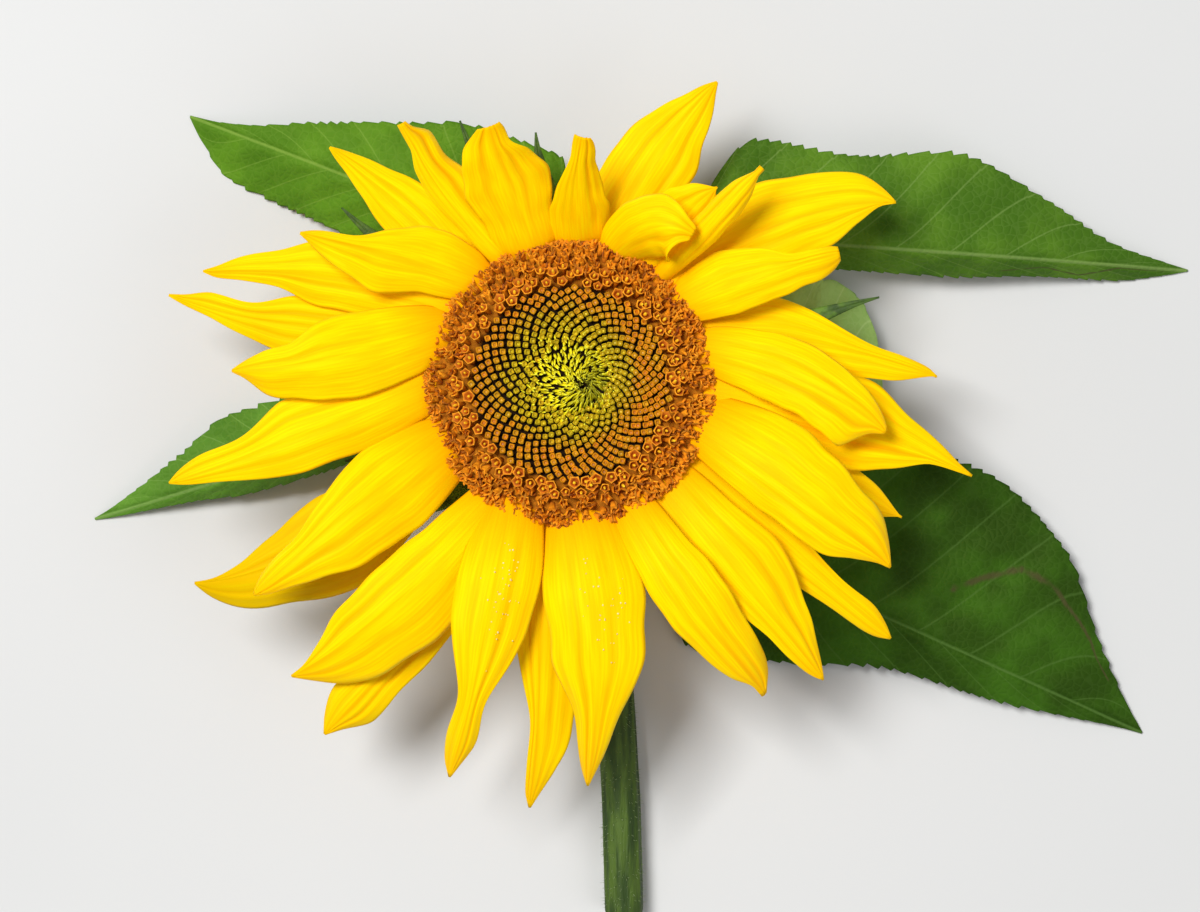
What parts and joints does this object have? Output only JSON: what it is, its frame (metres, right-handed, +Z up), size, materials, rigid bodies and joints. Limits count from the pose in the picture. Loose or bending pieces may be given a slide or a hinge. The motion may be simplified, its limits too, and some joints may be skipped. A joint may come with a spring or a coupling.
{
  "type": "sunflower head",
  "caption": "Sunflower in bloom, as picked: a domed disc of florets ringed by pointed ray petals, with green bracts, leaves and a cut stem, lying on its back.",
  "frame": {"origin": "centre of the bounding box's footprint, on the surface the cut flower lies on", "axes": "+Z up, out of the flower's face; +Y from the cut end of the stem towards the head; +X to the right as the face is looked at from above with the stem at the bottom"},
  "size_m": [0.3442, 0.2564, 0.0682],
  "materials": {
    "petal_yellow": "soft satin petal, bright yellow with orange creases",
    "bract_green": "matte, finely hairy, olive green",
    "leaf_green": "matte rough leaf with pale veins",
    "stem_green": "matte green, bristly",
    "receptacle_green": "matte green, finely hairy",
    "open_floret_orange": "matte orange and maroon open florets",
    "bud_ochre": "matte ochre buds with near-black gaps",
    "center_green": "matte yellow-green young buds"
  },
  "bodies": {
    "root": {"ray_petal_01": "petal_yellow", "ray_petal_02": "petal_yellow", "ray_petal_03": "petal_yellow", "ray_petal_04": "petal_yellow", "ray_petal_05": "petal_yellow", "ray_petal_06": "petal_yellow", "ray_petal_07": "petal_yellow", "ray_petal_08": "petal_yellow", "ray_petal_09": "petal_yellow", "ray_petal_10": "petal_yellow", "ray_petal_11": "petal_yellow", "ray_petal_12": "petal_yellow", "ray_petal_13": "petal_yellow", "ray_petal_14": "petal_yellow", "ray_petal_15": "petal_yellow", "ray_petal_16": "petal_yellow", "ray_petal_17": "petal_yellow", "ray_petal_18": "petal_yellow", "ray_petal_19": "petal_yellow", "ray_petal_20": "petal_yellow", "ray_petal_21": "petal_yellow", "ray_petal_22": "petal_yellow", "ray_petal_23": "petal_yellow", "ray_petal_24": "petal_yellow", "ray_petal_25": "petal_yellow", "ray_petal_26": "petal_yellow", "ray_petal_27": "petal_yellow", "ray_petal_28": "petal_yellow", "ray_petal_29": "petal_yellow", "ray_petal_30": "petal_yellow", "bract_01": "bract_green", "bract_02": "bract_green", "bract_03": "bract_green", "bract_04": "bract_green", "bract_05": "bract_green", "bract_06": "bract_green", "bract_07": "bract_green", "bract_08": "bract_green", "bract_09": "bract_green", "bract_10": "bract_green", "bract_11": "bract_green", "bract_12": "bract_green", "bract_13": "bract_green", "bract_14": "bract_green", "bract_15": "bract_green", "bract_16": "bract_green", "bract_17": "bract_green", "bract_18": "bract_green", "bract_19": "bract_green", "leaf_upper_left": "leaf_green", "leaf_upper_right": "leaf_green", "leaf_left": "leaf_green", "leaf_lower_right": "leaf_green", "leaf_small_right": "leaf_green", "stem": "stem_green", "receptacle": "receptacle_green", "open_florets": "open_floret_orange", "floret_buds": "bud_ochre", "green_center": "center_green"}
  },
  "joints": []
}
